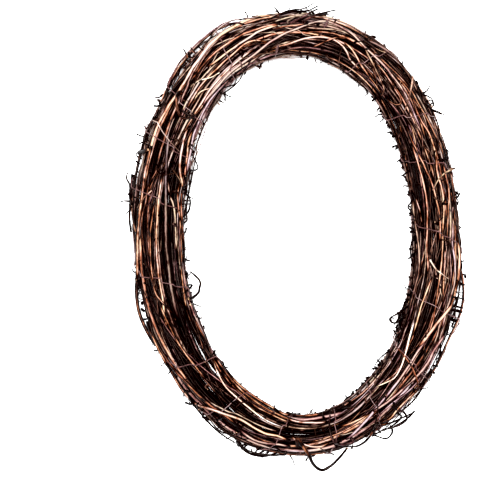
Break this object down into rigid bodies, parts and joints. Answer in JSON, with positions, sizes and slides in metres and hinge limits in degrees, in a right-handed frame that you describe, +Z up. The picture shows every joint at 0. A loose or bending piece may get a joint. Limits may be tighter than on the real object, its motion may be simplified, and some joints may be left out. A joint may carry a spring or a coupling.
{
  "type": "grapevine wreath",
  "caption": "Oval wreath of dried grapevine canes wound into a loose ring, with curled side shoots, bound round with thin coated wire.",
  "frame": {"origin": "on the resting plane, under the middle of the outline", "axes": "+Z up, out of the wreath's front; +Y along the oval's length, towards its top; +X to the right of a viewer who looks at the front"},
  "size_m": [0.312, 0.423, 0.0478],
  "materials": {
    "bark_orange": "bare orange-brown bark, slightly glossy",
    "bark_pink": "bare pinkish-brown bark",
    "bark_brown": "mid-brown bark",
    "bark_dark": "dark weathered bark",
    "wire_coating": "dark reddish-brown coated wire, satin"
  },
  "bodies": {
    "root": {"cane_front_01": "bark_orange", "cane_front_02": "bark_brown", "cane_front_03": "bark_brown", "cane_front_04": "bark_orange", "cane_front_05": "bark_brown", "cane_front_06": "bark_orange", "cane_front_07": "bark_pink", "cane_front_08": "bark_brown", "cane_front_09": "bark_pink", "cane_front_10": "bark_orange", "cane_front_11": "bark_brown", "cane_front_12": "bark_dark", "cane_front_13": "bark_pink", "cane_front_14": "bark_brown", "cane_front_15": "bark_orange", "cane_front_16": "bark_brown", "cane_front_17": "bark_dark", "cane_front_18": "bark_brown", "cane_front_19": "bark_orange", "cane_front_20": "bark_orange", "cane_front_21": "bark_brown", "cane_front_22": "bark_orange", "cane_front_23": "bark_dark", "cane_front_24": "bark_dark", "cane_inner_01": "bark_brown", "cane_inner_02": "bark_dark", "cane_inner_03": "bark_orange", "cane_inner_04": "bark_dark", "cane_inner_05": "bark_brown", "cane_inner_06": "bark_pink", "cane_inner_07": "bark_brown", "cane_inner_08": "bark_dark", "cane_inner_09": "bark_orange", "cane_inner_10": "bark_dark", "cane_inner_11": "bark_brown", "cane_inner_12": "bark_pink", "cane_inner_13": "bark_brown", "cane_inner_14": "bark_dark", "cane_inner_15": "bark_orange", "cane_inner_16": "bark_dark", "cane_inner_17": "bark_brown", "cane_inner_18": "bark_pink", "cane_inner_19": "bark_brown", "cane_inner_20": "bark_dark", "cane_inner_21": "bark_orange", "cane_inner_22": "bark_dark", "cane_inner_23": "bark_brown", "binding_wire": "wire_coating"}
  },
  "joints": []
}
